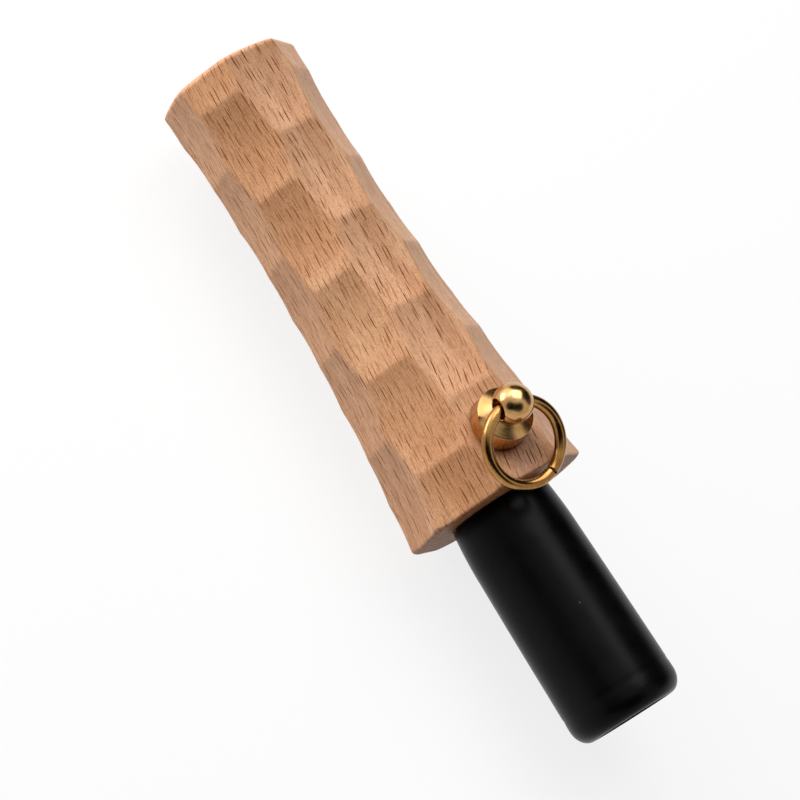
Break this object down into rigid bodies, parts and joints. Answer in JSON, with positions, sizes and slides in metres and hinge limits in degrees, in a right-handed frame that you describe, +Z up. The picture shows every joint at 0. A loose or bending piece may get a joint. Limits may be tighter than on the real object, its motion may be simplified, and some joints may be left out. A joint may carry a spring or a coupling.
{
  "type": "wooden call whistle",
  "caption": "Reed call whistle: scooped, faceted beech barrel with a flared bell, a push-in black mouthpiece that holds the reed unit, and a brass stud with a wire ring for a lanyard.",
  "frame": {"origin": "middle of the bottom of the box round the whole whistle, the stud pointing up", "axes": "+X along the bore towards the mouthpiece, +Z up through the ring stud, +Y completes a right-handed frame"},
  "size_m": [0.13, 0.032, 0.0415],
  "materials": {
    "beech": "oiled beech, satin, with short dark grain flecks",
    "black_tube": "black, satin, turned",
    "seal_rubber": "matt black",
    "smoked_acrylic": "dark moulded plastic, gloss",
    "reed_film": "milky plastic film",
    "cork": "cut cork",
    "brass": "polished, slightly aged",
    "ring_brass": "polished wire, slightly aged",
    "screw_steel": "plain steel"
  },
  "bodies": {
    "barrel": {"barrel": "beech", "ring_stud": "brass", "stud_screw": "screw_steel"},
    "mouthpiece": {"mouthpiece": "black_tube", "front_o_ring": "seal_rubber", "rear_o_ring": "seal_rubber", "tone_board": "smoked_acrylic", "cork_wedge": "cork"},
    "reed": {"reed": "reed_film"},
    "ring": {"split_ring": "ring_brass"}
  },
  "joints": [
    {"name": "mouthpiece_pull", "type": "slide", "parent": "barrel", "child": "mouthpiece", "axis": [1, 0, 0], "range_m": [0, 0.023]},
    {"name": "reed_flex", "type": "hinge", "parent": "mouthpiece", "child": "reed", "pos_m": [0.0097, 0, 0.01705], "axis": [0, 1, 0], "range_deg": [0, 1.8], "stiffness_Nm_per_rad": 0.0145},
    {"name": "ring_swing", "type": "hinge", "parent": "barrel", "child": "ring", "pos_m": [0.01243, 0, 0.0378], "axis": [-0.0868, -0.9962, -0.0076], "range_deg": [0, 233]}
  ]
}
